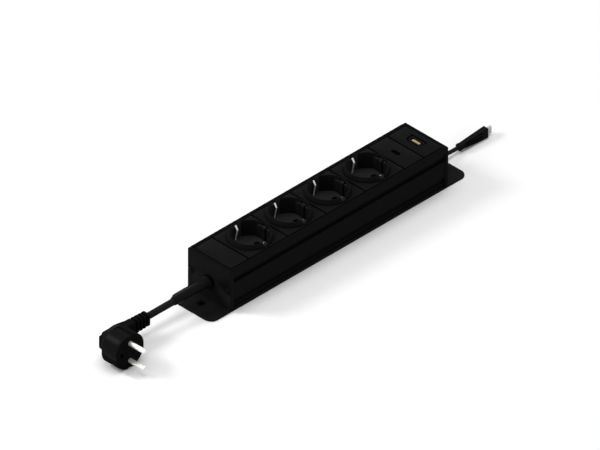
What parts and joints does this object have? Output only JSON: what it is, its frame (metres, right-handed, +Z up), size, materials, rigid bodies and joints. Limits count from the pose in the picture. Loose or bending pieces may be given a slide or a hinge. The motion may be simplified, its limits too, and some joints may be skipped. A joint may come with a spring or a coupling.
{
  "type": "in-desk power module",
  "caption": "Long extruded power module with earthed round sockets, a charging port, a data port, an angled mains plug and a data lead.",
  "frame": {"origin": "centre of the base plate's underside", "axes": "+X along the housing from the mains lead's end to the data lead's end, +Z up out of the sockets, -Y towards the side that the plug's pins point to"},
  "size_m": [0.5107, 0.0715, 0.0496],
  "materials": {
    "profile": "black anodised, satin",
    "plate": "black powder coat, satin",
    "cap": "black moulding, satin",
    "insert": "black moulding, fine grain",
    "carrier": "natural moulding, matt",
    "screw": "black oxide, satin",
    "zinc_screw": "zinc plated, satin",
    "clip": "nickel plated spring steel",
    "contact": "pressed brass, satin",
    "gold": "gold plated",
    "port": "nickel plated, satin",
    "tongue": "black moulding, matt",
    "board": "solder mask, satin",
    "winding": "taped core, matt",
    "can": "sleeved can, satin",
    "rubber": "black, satin",
    "cord": "black jacket, satin",
    "live": "brown sheath",
    "neutral": "blue sheath",
    "earth": "green and yellow sheath",
    "pin": "nickel plated brass"
  },
  "bodies": {
    "root": {"base_plate": "plate", "housing_profile": "profile", "cord_end_cap": "cap", "data_end_cap": "cap", "cord_cap_screws": "screw", "data_cap_screws": "screw", "plate_screws": "screw", "blank_insert": "insert", "charger_insert": "insert", "data_insert": "insert", "contact_carrier": "carrier", "live_busbar": "contact", "neutral_busbar": "contact", "earth_busbar": "contact", "charger_port_shell": "port", "charger_port_tongue": "tongue", "charger_board": "board", "charger_transformer": "winding", "charger_capacitors": "can", "data_port_shell": "port", "data_port_tongue": "tongue", "data_port_contacts": "gold", "data_board": "board", "mains_cord": "cord", "cord_gland": "rubber", "cord_inner_end": "cord", "cord_clamp_post": "carrier", "cord_clamp_strap": "carrier", "cord_clamp_screws": "zinc_screw", "live_wire": "live", "neutral_wire": "neutral", "earth_wire": "earth", "data_inner_lead": "cord", "plug_body": "rubber", "plug_pins": "pin", "plug_earth_strips": "clip", "data_cord": "cord", "data_bush": "rubber", "data_plug_body": "rubber", "data_plug_shell": "port", "socket_insert_1": "insert", "earth_bracket_1": "clip", "live_contact_1": "contact", "neutral_contact_1": "contact", "socket_insert_2": "insert", "earth_bracket_2": "clip", "live_contact_2": "contact", "neutral_contact_2": "contact", "socket_insert_3": "insert", "earth_bracket_3": "clip", "live_contact_3": "contact", "neutral_contact_3": "contact", "socket_insert_4": "insert", "earth_bracket_4": "clip", "live_contact_4": "contact", "neutral_contact_4": "contact"}
  },
  "joints": []
}
